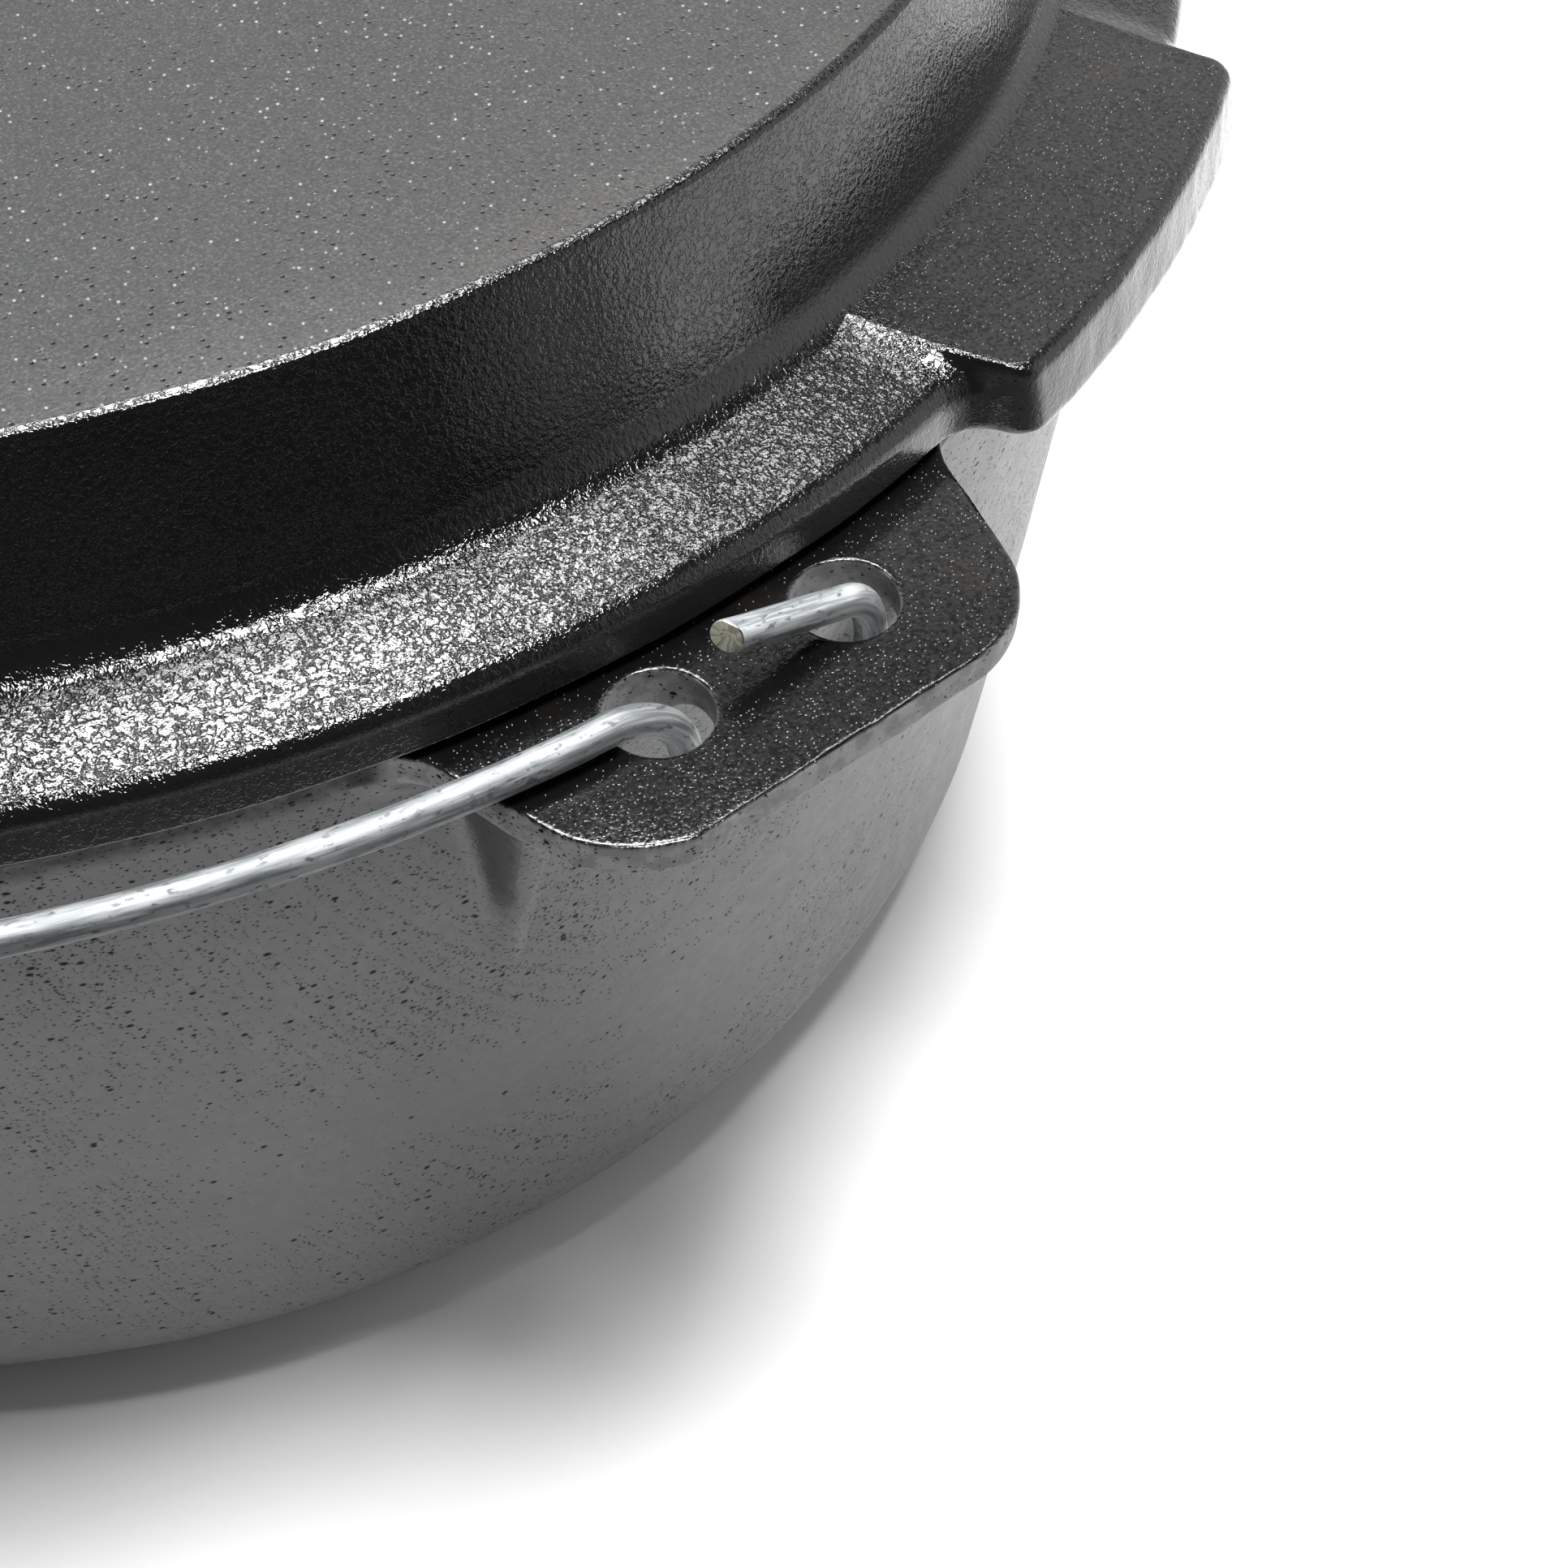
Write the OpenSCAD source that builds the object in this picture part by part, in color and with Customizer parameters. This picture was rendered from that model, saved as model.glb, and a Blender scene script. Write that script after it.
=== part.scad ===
// Cast pot with two drilled ears, a drop-on lid with a raised flat top, and a wire bail
// whose bent ends hook through the ears. Millimetres, +Z up, base on z = 0, ears along X.

/* [Pot] */
// Height from the base to the rim
pot_h = 126; // [110:1:150]
// Outside radius at the rim
rim_r = 149; // [135:1:165]
// Lean of the wall from upright, in degrees
wall_lean = 6.7; // [4:0.1:9]
// Thickness of the wall
wall_t = 5; // [4:0.25:6.5]
// Thickness of the floor
floor_t = 5.5; // [4:0.25:8]
// Outside radius where the wall turns into the base
base_round = 25; // [14:1:32]
// Inside radius where the wall turns into the floor
inner_round = 20; // [10:1:26]
// Rounding of the rim's two edges
rim_round = 1; // [0.7:0.1:1.8]

/* [Ears] */
// Reach of an ear beyond the rim
ear_out = 21.5; // [19:0.5:26]
// Width of an ear at its outer edge, before its corners are rounded
ear_w = 48.6; // [44:0.2:56]
// Flare of an ear's sides towards the pot, in degrees
ear_flare = 12.8; // [6:0.2:18]
// Thickness of an ear
ear_t = 3.8; // [3:0.1:5]
// Step from the rim down to the ear's top face
ear_drop = 0.6; // [0.3:0.1:1.5]
// Corner radius of an ear
ear_corner = 8.5; // [4:0.5:10]
// Radius in the notch between an ear and the wall
ear_root = 5; // [2:0.5:8]

/* [Ear holes] */
// Diameter of the two holes in each ear
hole_d = 10.3; // [9.6:0.1:11.4]
// Distance between the two holes, centre to centre
hole_gap = 22; // [21:0.2:24]
// Distance of the hole centres beyond the rim
hole_out = 8.15; // [7.6:0.05:10]

/* [Ear bracket] */
// Reach beyond the rim of the block under an ear
block_out = 5; // [3.5:0.25:6]
// Lean of the block's front face from upright, in degrees
block_lean = 21; // [16:0.5:26]
// Width of the block against the ear
block_w = 50; // [42:0.5:52]
// Lean of the block's two ends, in degrees
block_taper = 5; // [2:0.5:9]

/* [Lid] */
// Height of the flat top above the rim
lid_rise = 29.7; // [24:0.1:38]
// Distance of the flat top's edge inside the rim, before it is rounded
top_in = 17.9; // [15:0.1:24]
// Lean of the raised wall from upright, in degrees
lid_lean = 8; // [5:0.5:12]
// Thickness of the raised wall and the flat top
lid_t = 5; // [4:0.25:6]
// Radius of the hollow where the raised wall meets the flange
cove_round = 5; // [3:0.25:6.5]
// Thickness of the flange at its edge
flange_t = 5.9; // [5:0.1:7.5]
// Reach of the flange beyond the rim
flange_out = 2.1; // [1.4:0.1:3]
// Undercut of the flange's edge from top to bottom
flange_draft = 1.5; // [0.6:0.1:2]
// Slope of the flange's top face, in degrees
flange_slope = 5.7; // [3:0.1:8]
// Depth of the ring that centres the lid in the mouth
skirt_h = 3.5; // [2.5:0.25:6]
// Thickness of the ring
skirt_t = 4; // [3:0.25:5.5]
// Space between the ring and the mouth
skirt_gap = 1.2; // [0.8:0.1:2]

/* [Lid tabs] */
// Width of a tab
tab_w = 56; // [40:1:60]
// Thickness of a tab
tab_t = 6.2; // [5:0.1:6.6]
// Height of a tab's top face above the flange's edge
tab_step = 1.3; // [0.8:0.1:1.6]
// Corner radius of a tab
tab_corner = 2.5; // [1:0.25:4]
// Radius in the notch between a tab and the flange
tab_root = 2; // [1:0.25:4]
// Space between a tab and the lying bail
tab_gap = 1.05; // [0.9:0.05:2]
// Turn of the tabs from the ears, in degrees
tab_turn = 25; // [20:0.5:90]

/* [Bail] */
// Diameter of the wire
wire_d = 3.2; // [2.6:0.1:3.4]
// Space between the lying wire and the ear's top face
bail_gap = 0.5; // [0.4:0.05:1]
// Distance of the loop's middle beyond the hole centres
loop_out = 1.35; // [0.8:0.05:1.6]
// Turn of the loop's plane from square to the ear, in degrees
loop_yaw = 3.5; // [2:0.25:4]
// Shift of the loop's middle from the ear's middle, towards the hook
loop_shift = 1.8; // [1.5:0.05:2]
// Depth of the loop's middle below the middle of the ear
loop_drop = 2; // [1.6:0.05:2.4]
// Space between the loop and the web between the holes
web_gap = 0.55; // [0.4:0.05:0.75]
// Space between the hook and the web between the holes
hook_gap = 0.75; // [0.6:0.05:1]
// Bend radius where the wire turns down into the first hole
lead_round = 9; // [7.5:0.25:10]
// Bend radius where the wire turns back into the hook
hook_round = 3.4; // [3:0.1:3.8]
// Rise of the hook's straight end, in degrees
hook_rise = 15; // [12:0.5:18]
// Length of the hook's straight end
hook_l = 14.5; // [10:0.5:16]
// Bend radius of the wire's shoulder beside an ear
shoulder_round = 60; // [45:1:75]

/* [Hidden] */
turn_fn = 72;
edge_fn = 20;
wire_fn = 18;
bend_fn = 60;
wire_step = 0.03;
wire_tuck = 0.15;

// Outside of the pot's wall at a height, and the mouth inside it
lean_k = tan(wall_lean);
wall_in = wall_t / cos(wall_lean);
base_r = rim_r - pot_h * lean_k;
function wall_r(z) = rim_r - (pot_h - z) * lean_k;
mouth_r = wall_r(pot_h - skirt_h) - wall_in;

// Levels and reach of the ears
ear_top = pot_h - ear_drop;
ear_low = ear_top - ear_t;
ear_mid = ear_top - ear_t / 2;
ear_u = rim_r + ear_out;
hole_u = rim_r + hole_out;
hole_w = hole_gap / 2;
block_low = ear_low - block_out / (tan(block_lean) - lean_k) - 12;

// Lid levels and the corner between its raised wall and its flange
lid_top = pot_h + lid_rise;
top_r = rim_r - top_in;
flange_r = rim_r + flange_out;
flange_top = pot_h + flange_t;
slope_k = tan(flange_slope);
lid_k = tan(lid_lean);
cove_r = (top_r + (lid_top - flange_top - flange_r * slope_k) * lid_k) / (1 - slope_k * lid_k);
cove_z = flange_top + (flange_r - cove_r) * slope_k;
lid_in = lid_t / cos(lid_lean);
under_z = lid_top - lid_t;
under_r = top_r + lid_t * lid_k - lid_in;
foot_r = under_r + (under_z - pot_h) * lid_k;
skirt_r = mouth_r - skirt_gap;
tab_top = flange_top + tab_step;

// Bail: the end loop is drawn flat, x towards the hook and y up from the middle of the ear
web_half = hole_w - hole_d / 2;
loop_rise = ear_t / 2 + loop_drop;
loop_round = norm([web_half + loop_shift, loop_rise]) + wire_d / 2 + web_gap;
hook_d = norm([web_half - loop_shift, loop_rise]) + wire_d / 2 + hook_gap;
lie = ear_t / 2 + bail_gap + wire_d / 2;
lead_c = [0, lie - lead_round];
loop_x = sqrt(pow(lead_round + loop_round, 2) - pow(loop_drop + lead_c[1], 2));
loop_c = [loop_x, -loop_drop];
lead_a = atan2(loop_c[1] - lead_c[1], loop_c[0]);
hook_n = [sin(hook_rise), cos(hook_rise)];
hook_t = [-cos(hook_rise), sin(hook_rise)];
hook_off = hook_d - hook_round;
hook_back = sqrt(pow(loop_round - hook_round, 2) - pow(hook_off, 2));
hook_c = loop_c - hook_back * hook_t + hook_off * hook_n;
hook_a = atan2(hook_c[1] - loop_c[1], hook_c[0] - loop_c[0]);
hook_p = hook_c + hook_round * hook_n;

// Plan of the bail: the loop's start beside an ear, the shoulder bend and the wide arc
start_u = hole_u + loop_out - loop_x * sin(loop_yaw);
start_w = loop_x * cos(loop_yaw) - loop_shift;
turn_u = start_u - shoulder_round * cos(loop_yaw);
turn_w = start_w - shoulder_round * sin(loop_yaw);
bail_r = shoulder_round + norm([turn_u, turn_w]);
bail_a = atan2(turn_w, turn_u);
bail_z = ear_mid + lie;
tab_r = bail_r - wire_d / 2 - tab_gap;

// Outline with a rounding radius as the third value of each corner, listed anticlockwise
function unit(v) = v / norm(v);
function xy(v) = [v[0], v[1]];
function back_v(p, i) = unit(xy(p[(i + len(p) - 1) % len(p)]) - xy(p[i]));
function on_v(p, i) = unit(xy(p[(i + 1) % len(p)]) - xy(p[i]));
function half_a(p, i) = acos(back_v(p, i) * on_v(p, i)) / 2;
function outward(p, i) = cross(on_v(p, i), back_v(p, i)) > 0;
function cut_l(p, i) = p[i][2] / tan(half_a(p, i));
function round_c(p, i) = xy(p[i]) + unit(back_v(p, i) + on_v(p, i)) * p[i][2] / sin(half_a(p, i));
function cut_p(p, i) = p[i][2] > 0 ? [xy(p[i]) + back_v(p, i) * cut_l(p, i), xy(p[i]) + on_v(p, i) * cut_l(p, i)] : [xy(p[i])];

module round_poly(p) {
  difference() {
    union() {
      polygon([for (i = [0 : len(p) - 1]) each cut_p(p, i)]);
      for (i = [0 : len(p) - 1])
        if (p[i][2] > 0 && outward(p, i))
          translate(round_c(p, i))
            circle(r = p[i][2], $fn = edge_fn);
    }
    for (i = [0 : len(p) - 1])
      if (p[i][2] > 0 && !outward(p, i))
        translate(round_c(p, i))
          circle(r = p[i][2], $fn = edge_fn);
  }
}

// Centre of a notch radius that touches a straight side and a round rim from outside
function notch_s(b, e, r) = -(b * e) - sqrt(pow(b * e, 2) - (b * b - r * r));
function notch_c(a, e, n, rim, r) = a + r * n + notch_s(a + r * n, e, rim + r) * e;

// Turned shape of the pot without its ears
module pot_shell() {
  mouth_top = rim_r - wall_in;
  rotate_extrude($fn = turn_fn)
    difference() {
      round_poly([
        [0, 0, 0],
        [base_r, 0, base_round],
        [rim_r, pot_h, rim_round],
        [0, pot_h, 0]
      ]);
      round_poly([
        [0, floor_t, 0],
        [wall_r(floor_t) - wall_in, floor_t, inner_round],
        [mouth_top, pot_h, rim_round],
        [mouth_top + 1.5 * rim_round, pot_h, 0],
        [mouth_top + 1.5 * rim_round, pot_h + wall_t, 0],
        [0, pot_h + wall_t, 0]
      ]);
    }
}

// Space inside the middle of the wall, which ends the ears inside the metal
module wall_core() {
  rotate_extrude($fn = turn_fn)
    polygon([
      [0, 0],
      [wall_r(0) - wall_in / 2, 0],
      [wall_r(pot_h) - wall_in / 2, pot_h],
      [0, pot_h]
    ]);
}

// Half of an ear's outline: straight outer edge, round corner, flared side and notch
module ear_side() {
  side_e = [-cos(ear_flare), sin(ear_flare)];
  side_n = [sin(ear_flare), cos(ear_flare)];
  corner_p = [ear_u, ear_w / 2];
  rim_low = wall_r(ear_low);
  notch = notch_c(corner_p, side_e, side_n, rim_low, ear_root);
  notch_in = notch - ear_root * side_n;
  notch_rim = notch * rim_low / (rim_low + ear_root);
  difference() {
    union() {
      round_poly([
        [rim_r - wall_t, -1, 0],
        [ear_u, -1, 0],
        [corner_p[0], corner_p[1], ear_corner],
        [notch_in[0], notch_in[1], 0],
        [rim_r - wall_t, notch_in[1], 0]
      ]);
      polygon([
        [rim_r - wall_t, notch_in[1] - ear_root],
        [notch_in[0], notch_in[1] - ear_root],
        notch_in,
        notch_rim,
        notch_rim * (1 - wall_t / 2 / rim_r),
        [rim_r - wall_t, notch_rim[1] - wall_t]
      ]);
    }
    translate(notch)
      circle(r = ear_root, $fn = turn_fn);
  }
}

module ear() {
  translate([0, 0, ear_low])
    linear_extrude(height = ear_t)
      union() {
        ear_side();
        mirror([0, 1])
          ear_side();
      }
}

// Block under an ear: a wedge against the wall with leaning ends
module ear_block() {
  front_u = rim_r + block_out;
  fall = ear_low - block_low;
  low_u = front_u - fall * tan(block_lean);
  low_w = block_w / 2 - fall * tan(block_taper);
  top = ear_t / 2;
  intersection() {
    translate([0, block_w, 0])
      rotate([90, 0, 0])
        linear_extrude(height = 2 * block_w)
          polygon([
            [low_u - 20, block_low],
            [low_u, block_low],
            [front_u, ear_low],
            [front_u, ear_low + top],
            [low_u - 20, ear_low + top]
          ]);
    rotate([90, 0, 90])
      linear_extrude(height = rim_r + 3 * block_out)
        polygon([
          [-low_w, block_low],
          [low_w, block_low],
          [block_w / 2, ear_low],
          [block_w / 2, ear_low + top],
          [-block_w / 2, ear_low + top],
          [-block_w / 2, ear_low]
        ]);
  }
}

// The two holes of an ear, run on down the face of the block
module ear_holes() {
  for (s = [-1, 1])
    translate([hole_u, s * hole_w, ear_low - 14])
      cylinder(d = hole_d, h = ear_t + 16, $fn = 48);
}

module pot() {
  color([0.2, 0.2, 0.21])
    difference() {
      union() {
        pot_shell();
        difference() {
          for (m = [0, 180])
            rotate([0, 0, m])
              union() {
                ear();
                ear_block();
              }
          wall_core();
        }
      }
      for (m = [0, 180])
        rotate([0, 0, m])
          ear_holes();
    }
}

// Turned shape of the lid without its tabs
module lid_shell() {
  rotate_extrude($fn = turn_fn)
    round_poly([
      [0, under_z, 0],
      [under_r, under_z, 8],
      [foot_r, pot_h, 2],
      [skirt_r - skirt_t, pot_h, 1.5],
      [skirt_r - skirt_t, pot_h - skirt_h, 1],
      [skirt_r, pot_h - skirt_h, 1],
      [skirt_r, pot_h, 0],
      [flange_r - flange_draft, pot_h, 0.8],
      [flange_r, flange_top, 1.6],
      [cove_r, cove_z, cove_round],
      [top_r, lid_top, 1.2],
      [0, lid_top, 0]
    ]);
}

// Plate of a tab: round outer edge, straight sides and notches against the flange
module tab_plate() {
  corner_d = tab_r - tab_corner;
  corner_w = tab_w / 2 - tab_corner;
  corner_u = sqrt(corner_d * corner_d - corner_w * corner_w);
  rim_in = flange_r - flange_draft / 2;
  notch = notch_c([corner_u, tab_w / 2], [-1, 0], [0, 1], rim_in, tab_root);
  notch_rim = notch * (rim_in - 1) / (rim_in + tab_root);
  root_u = cove_r + 3;
  reach = 2 * tab_r / corner_d;
  difference() {
    union() {
      intersection() {
        circle(r = tab_r, $fn = 4 * turn_fn);
        polygon([
          [root_u, 0],
          [root_u, -corner_w * root_u / corner_u],
          [corner_u * reach, -corner_w * reach],
          [corner_u * reach, corner_w * reach],
          [root_u, corner_w * root_u / corner_u]
        ]);
      }
      translate([root_u, -tab_w / 2])
        square([corner_u - root_u, tab_w]);
      for (s = [-1, 1])
        translate([corner_u, s * corner_w])
          circle(r = tab_corner, $fn = 2 * edge_fn);
      for (s = [-1, 1])
        polygon([
          [notch[0], s * tab_w / 2],
          [notch_rim[0], s * notch_rim[1]],
          [root_u, s * notch_rim[1]],
          [root_u, 0]
        ]);
    }
    for (s = [-1, 1])
      translate([notch[0], s * notch[1]])
        circle(r = tab_root, $fn = 2 * edge_fn);
  }
}

module lid() {
  color([0.24, 0.24, 0.25])
    union() {
      lid_shell();
      for (m = [0, 180])
        rotate([0, 0, m + tab_turn])
          translate([0, 0, tab_top - tab_t])
            linear_extrude(height = tab_t)
              tab_plate();
    }
}

// Bent and straight runs of wire, drawn flat. Every other run is drawn a little thinner
// and tucked into the ends of its neighbours.
module wire_bend(c, r, a0, a1, thin = 0, fn = bend_fn) {
  tuck_a = thin * wire_tuck / r * 180 / PI;
  translate([c[0], c[1], 0])
    rotate([0, 0, a0 - tuck_a])
      rotate_extrude(angle = a1 - a0 + 2 * tuck_a, $fn = fn)
        translate([r, 0])
          circle(d = wire_d - 2 * thin * wire_step, $fn = wire_fn);
}

module wire_run(a, way, l) {
  translate([a[0], a[1], 0])
    rotate([0, 0, way])
      translate([-wire_tuck, 0, 0])
        rotate([0, 90, 0])
          cylinder(d = wire_d - 2 * wire_step, h = l + wire_tuck, $fn = wire_fn);
}

// End of the bail: down the first hole, under the web, up the second hole and back as a hook
module bail_end() {
  translate([start_u, -start_w, ear_mid])
    rotate([90, 0, 90 - loop_yaw])
      union() {
        wire_bend(lead_c, lead_round, lead_a, 90);
        wire_bend(loop_c, loop_round, lead_a + 180, 360 + hook_a, thin = 1);
        wire_bend(hook_c, hook_round, hook_a, 90 - hook_rise);
        wire_run(hook_p, 180 - hook_rise, hook_l);
      }
  translate([0, 0, bail_z])
    wire_bend([turn_u, -turn_w], shoulder_round, -bail_a, -loop_yaw, thin = 1, fn = turn_fn);
}

module bail() {
  color([0.66, 0.67, 0.68])
    union() {
      translate([0, 0, bail_z])
        wire_bend([0, 0], bail_r, bail_a - 180, -bail_a, fn = 2 * turn_fn);
      bail_end();
      mirror([1, 0, 0])
        bail_end();
    }
}

pot();
lid();
bail();
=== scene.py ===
import math
import bmesh
import bpy
import numpy as np
from mathutils import Matrix, Vector


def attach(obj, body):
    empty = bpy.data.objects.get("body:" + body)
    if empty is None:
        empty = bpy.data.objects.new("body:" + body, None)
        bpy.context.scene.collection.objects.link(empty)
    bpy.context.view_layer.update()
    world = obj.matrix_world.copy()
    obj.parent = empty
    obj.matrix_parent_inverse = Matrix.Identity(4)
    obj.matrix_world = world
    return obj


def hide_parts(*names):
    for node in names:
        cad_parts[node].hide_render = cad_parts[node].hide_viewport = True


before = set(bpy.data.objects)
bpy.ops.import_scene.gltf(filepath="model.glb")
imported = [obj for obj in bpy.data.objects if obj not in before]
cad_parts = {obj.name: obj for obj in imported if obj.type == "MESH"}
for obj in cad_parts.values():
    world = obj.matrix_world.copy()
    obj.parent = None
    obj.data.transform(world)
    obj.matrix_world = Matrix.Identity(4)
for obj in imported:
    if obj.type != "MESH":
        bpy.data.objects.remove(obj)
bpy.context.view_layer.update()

MM = 0.001

# Sizes of the part, in millimetres and degrees
WALL_DEG, FLANGE_DEG, LID_DEG = 6.7, 9.5, 13.5
LEAN = math.tan(math.radians(WALL_DEG))
SLOPE = math.tan(math.radians(FLANGE_DEG))
LID_LEAN = math.tan(math.radians(LID_DEG))
POT_H, RIM_R, WALL_T, FLOOR_T = 126.0, 149.0, 5.0, 5.5
WALL_IN = WALL_T / math.cos(math.radians(WALL_DEG))
FOOT_ROUND, FLOOR_ROUND = 25.0, 20.0
EAR_TOP, EAR_T, EAR_U, EAR_W = 125.4, 3.8, 170.5, 24.3
EAR_LOW = EAR_TOP - EAR_T
EAR_FLARE, EAR_CORNER = 15.4, 8.5
BLOCK_OUT, BLOCK_W, BLOCK_TILT, BLOCK_TAPER = 5.0, 26.8, 22.0, 8.9
GUSSET = 3.5
HOLE_U, HOLE_W, HOLE_R = 157.15, 11.0, 5.15
FLANGE_R, FLANGE_TOP, FLANGE_ROUND = 151.1, 131.9, 2.4
FLANGE_GAP, FLANGE_OUT, EDGE_LEAN = 0.5, 0.05, 0.0463
LID_TOP, TOP_R, LID_T = 155.7, 131.1, 5.0
LIP_H, LIP_T, LIP_GAP = 3.5, 4.0, 1.2
COVE_R = ((TOP_R + (LID_TOP - FLANGE_TOP - FLANGE_R * SLOPE) * LID_LEAN)
          / (1 - SLOPE * LID_LEAN))
COVE_Z = FLANGE_TOP + (FLANGE_R - COVE_R) * SLOPE
COVE_ROUND = 5.0
TAB_TOP, TAB_T = 133.7, 8.3
WIRE = 3.2

# Each tab's turn about the lid, reach, half width, and lean of its outer face
TABS = {"front": (24.9, 157.2, 29.3, 1.0), "back": (205.0, 155.7, 27.9, 0.0)}

# Skins of ears and tabs: grid, depth under the casting at the border, and buried depth
GRID, SINK, BURIED = 0.32, 0.05, 1.2

# Band of painted shadow round the pot's wall, under the lid's edge
LID_SHADOW_LOW, LID_SHADOW_HIGH, LID_SHADOW_TONE = 121.2, 122.0, 0.9


def wall_r(z):
    return RIM_R - (POT_H - z) * LEAN


def step(x, lo, hi):
    t = np.clip((x - lo) / (hi - lo), 0.0, 1.0)
    return t * t * (3 - 2 * t)


# Slow swell of a sand casting, from fixed waves
RNG = np.random.default_rng(7)
WAVES = [(RNG.normal(size=3), RNG.uniform(0, 6.28)) for _ in range(14)]


def swell(x, y, z, size):
    s = 0.0
    for i, (d, ph) in enumerate(WAVES):
        w = d / np.linalg.norm(d) * (2 * math.pi / (size * (0.6 + 0.09 * i)))
        s = s + np.sin(x * w[0] + y * w[1] + z * w[2] + ph)
    return s / math.sqrt(len(WAVES) / 2)


# Section lines with rounded corners, to be turned about the upright axis
def round_line(corners, seg=2.4, turn=4.5):
    pts = []
    n = len(corners)
    for i, (x, y, r) in enumerate(corners):
        p = np.array([x, y], float)
        if r <= 0 or i in (0, n - 1):
            pts.append(p)
            continue
        a = np.array(corners[i - 1][:2], float) - p
        b = np.array(corners[i + 1][:2], float) - p
        a /= np.linalg.norm(a)
        b /= np.linalg.norm(b)
        half = math.acos(max(-1.0, min(1.0, float(a @ b)))) / 2
        mid = (a + b) / np.linalg.norm(a + b)
        c = p + mid * r / math.sin(half)
        t1 = p + a * r / math.tan(half) - c
        t2 = p + b * r / math.tan(half) - c
        a1 = math.atan2(t1[1], t1[0])
        d = (math.atan2(t2[1], t2[0]) - a1 + math.pi) % (2 * math.pi) - math.pi
        k = max(3, int(abs(math.degrees(d)) / turn))
        for j in range(k + 1):
            g = a1 + d * j / k
            pts.append(c + r * np.array([math.cos(g), math.sin(g)]))
    out = [pts[0]]
    for p in pts[1:]:
        q = out[-1]
        gap = float(np.linalg.norm(p - q))
        if gap < 1e-4:
            continue
        k = max(1, int(math.ceil(gap / seg)))
        for j in range(1, k + 1):
            out.append(q + (p - q) * j / k)
    return np.array(out)


# Faces over m rings of n points, closed by a point at each end
def tube_faces(m, n):
    j = np.arange(n)
    k = (j + 1) % n
    quads = [np.stack([i * n + j, i * n + k, (i + 1) * n + k, (i + 1) * n + j], 1)
             for i in range(m - 1)]
    faces = np.concatenate(quads).tolist()
    first, last = m * n, m * n + 1
    o = (m - 1) * n
    faces += [[first, int(b), int(a)] for a, b in zip(j, k)]
    faces += [[last, int(o + a), int(o + b)] for a, b in zip(j, k)]
    return faces


# A section line turned round, with swell except where still says so and on the base
def lathe(line, still, n=480, slow=0.06, quick=0.02):
    ang = np.linspace(0, 2 * math.pi, n, endpoint=False)
    ring = np.stack([np.cos(ang), np.sin(ang)], 1)
    body = line[1:-1]
    m = len(body)
    tan = np.gradient(line, axis=0)[1:-1]
    tan /= np.linalg.norm(tan, axis=1)[:, None]
    v = np.zeros((m * n + 2, 3))
    for i, (r, z) in enumerate(body):
        x, y = ring[:, 0] * r, ring[:, 1] * r
        push = slow * swell(x, y, z, 30.0) + quick * swell(x, y, z, 11.0)
        push = push * step(z, -0.3, 3.0) * (1 - still(x, y, z))
        row = slice(i * n, (i + 1) * n)
        v[row, :2] = ring * (r + push * tan[i, 1])[:, None]
        v[row, 2] = z - push * tan[i, 0]
    v[-2] = [0, 0, v[:n, 2].mean()]
    v[-1] = [0, 0, v[(m - 1) * n:m * n, 2].mean()]
    return v, tube_faces(m, n)


# Where the swell dies out, so that ears and tabs grow from the plain form
def at_ears(x, y, z):
    return step(np.abs(y), 58.0, 40.0) * step(z, 52.0, 68.0)


# The flat top keeps little of the swell too
def at_tabs(x, y, z):
    near = 0.7 * (z > LID_TOP - 0.5) * step(np.hypot(x, y), 129.0, 122.0)
    for turn, _, _, _ in TABS.values():
        c, s = math.cos(math.radians(turn)), math.sin(math.radians(turn))
        across, along = np.abs(y * c - x * s), x * c + y * s
        near = np.maximum(near, step(across, 54.0, 42.0) * step(along, 118.0, 130.0))
    return near


# Solids given as distance fields, for the cast ears and tabs with their soft roots
def smin(a, b, k):
    h = np.maximum(k - np.abs(a - b), 0.0) / k
    return np.minimum(a, b) - h * h * k * 0.25


def smax(a, b, k):
    return -smin(-a, -b, k)


def round_and(a, b, r):
    a, b = a + r, b + r
    corner = np.hypot(np.maximum(a, 0.0), np.maximum(b, 0.0))
    return np.minimum(np.maximum(a, b), 0.0) + corner - r


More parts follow.
